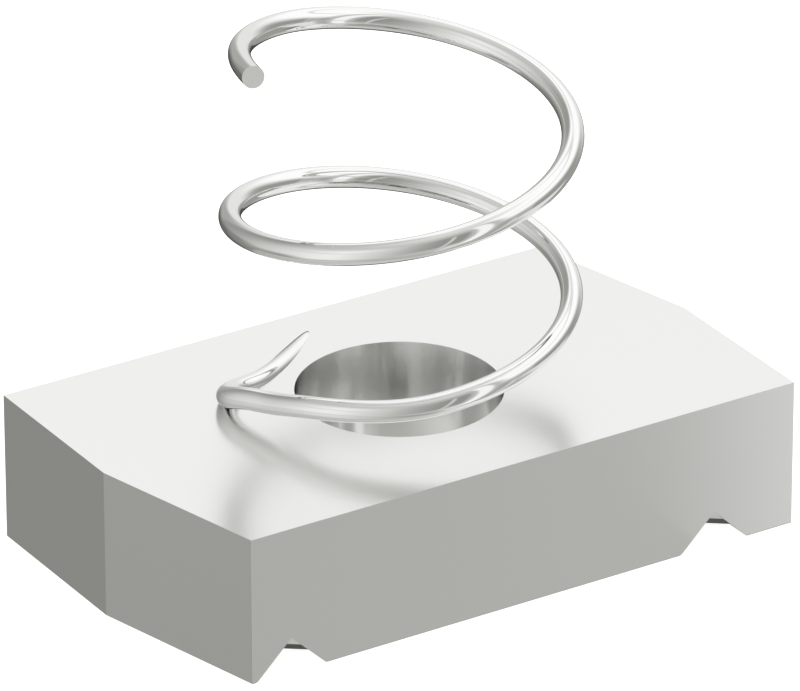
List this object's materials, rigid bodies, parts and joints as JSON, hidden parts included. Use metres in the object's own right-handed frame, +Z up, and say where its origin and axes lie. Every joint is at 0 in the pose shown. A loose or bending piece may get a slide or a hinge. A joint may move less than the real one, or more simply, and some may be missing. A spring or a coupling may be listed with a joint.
{
  "type": "strut spring nut",
  "caption": "Rectangular strut channel nut with toothed lip grooves below and a tall coil spring on top of its threaded hole.",
  "frame": {"origin": "centre of the nut's underside, on the axis of the threaded hole", "axes": "+X along the nut's length, across the channel; +Y along the channel and its lips; +Z up from the grooved underside through the coil"},
  "size_m": [0.0344, 0.0204, 0.0273],
  "materials": {
    "plated_steel": "bright zinc plate, smooth and glossy",
    "spring_wire": "bright drawn and plated wire"
  },
  "bodies": {
    "root": {"nut_body": "plated_steel", "spring": "spring_wire"}
  },
  "joints": []
}
